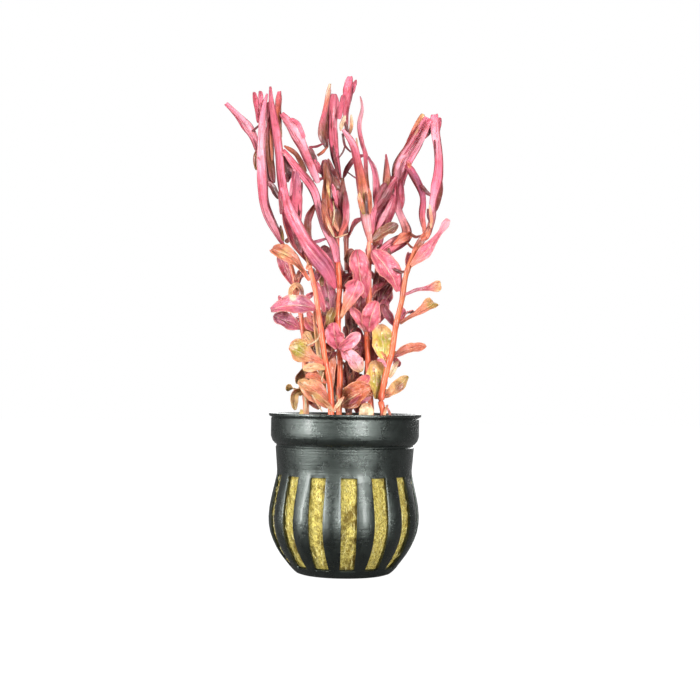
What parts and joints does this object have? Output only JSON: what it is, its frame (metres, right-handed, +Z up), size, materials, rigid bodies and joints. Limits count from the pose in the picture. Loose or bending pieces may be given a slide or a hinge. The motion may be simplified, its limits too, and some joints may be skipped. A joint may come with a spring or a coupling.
{
  "type": "potted rotala aquarium plant",
  "caption": "Potted Rotala aquarium plant: narrow pink, crimson and tan leaves on thin upright stems, rooted in a rockwool plug in a slotted black net pot.",
  "frame": {"origin": "centre of the pot's flat underside", "axes": "+Z up along the pot's axis; -Y is the side that faces the camera; +X is to the camera's right"},
  "size_m": [0.0761, 0.0506, 0.1678],
  "materials": {
    "pot_plastic": "semi-gloss near-black moulded plastic",
    "rockwool": "fibrous yellow-olive mineral wool",
    "stem_orange": "moist orange-pink stem",
    "stem_salmon": "moist salmon stem",
    "stem_brown": "moist brown-red stem",
    "leaf_hot_pink": "wet hot pink leaf",
    "leaf_pink": "wet pink leaf",
    "leaf_pale_pink": "wet pale pink leaf",
    "leaf_deep_pink": "satin deep pink leaf",
    "leaf_crimson": "wet crimson leaf",
    "leaf_maroon": "satin maroon leaf",
    "leaf_mauve": "satin mauve leaf",
    "leaf_brown": "dry brown leaf",
    "leaf_salmon": "satin salmon leaf",
    "leaf_orange": "satin orange leaf",
    "leaf_tan": "dull tan leaf",
    "leaf_olive": "satin yellow-green leaf"
  },
  "bodies": {
    "root": {"pot": "pot_plastic", "rockwool": "rockwool", "stem_left": "stem_orange", "stem_front_left": "stem_orange", "stem_centre": "stem_orange", "stem_right": "stem_orange", "stem_far_right": "stem_salmon", "stem_back_right": "stem_brown", "stem_back_centre": "stem_brown", "strap_left_arrow": "leaf_pink", "strap_left_outer": "leaf_pale_pink", "strap_left_tall": "leaf_hot_pink", "strap_left_tip": "leaf_brown", "strap_left_inner": "leaf_mauve", "ribbon_left_broad": "leaf_hot_pink", "ribbon_left_salmon": "leaf_salmon", "strap_middle_left": "leaf_pink", "strap_cross_left": "leaf_pink", "strap_centre": "leaf_hot_pink", "strap_centre_tan": "leaf_tan", "strap_top_notched": "leaf_hot_pink", "strap_thin_pale": "leaf_pale_pink", "strap_centre_right": "leaf_pink", "strap_mauve": "leaf_mauve", "strap_short_right": "leaf_salmon", "strap_bridge": "leaf_maroon", "strap_right_inner": "leaf_pink", "strap_right_outer": "leaf_hot_pink", "strap_right_cross": "leaf_mauve", "strap_crimson": "leaf_crimson", "blade_right_folded": "leaf_pink", "cup_leaf_left": "leaf_orange", "cup_leaf_right": "leaf_crimson", "leaf_dry_tan": "leaf_brown", "leaf_maroon_right": "leaf_maroon", "leaf_crumpled": "leaf_deep_pink", "leaf_orange_left": "leaf_orange", "leaf_pink_left": "leaf_pink", "leaf_broad_left_upper": "leaf_deep_pink", "leaf_broad_left_lower": "leaf_mauve", "leaf_middle_pink": "leaf_pink", "leaf_oval_centre": "leaf_hot_pink", "leaf_long_right": "leaf_salmon", "leaf_bright_pink": "leaf_hot_pink", "leaf_purple_crinkled": "leaf_mauve", "leaf_yellow_upper": "leaf_olive", "leaf_yellow_lower": "leaf_olive", "leaf_low_pink": "leaf_hot_pink", "leaf_low_pointed": "leaf_salmon", "leaf_spoon_left": "leaf_orange", "leaf_low_left": "leaf_tan", "leaf_low_right": "leaf_salmon", "leaf_right_high": "leaf_pink", "leaf_right_fan": "leaf_mauve", "leaf_right_orange": "leaf_orange", "leaf_right_salmon": "leaf_salmon", "leaf_right_low": "leaf_tan", "leaf_back_upper": "leaf_maroon", "leaf_back_middle": "leaf_mauve", "leaf_back_lower": "leaf_maroon"}
  },
  "joints": []
}
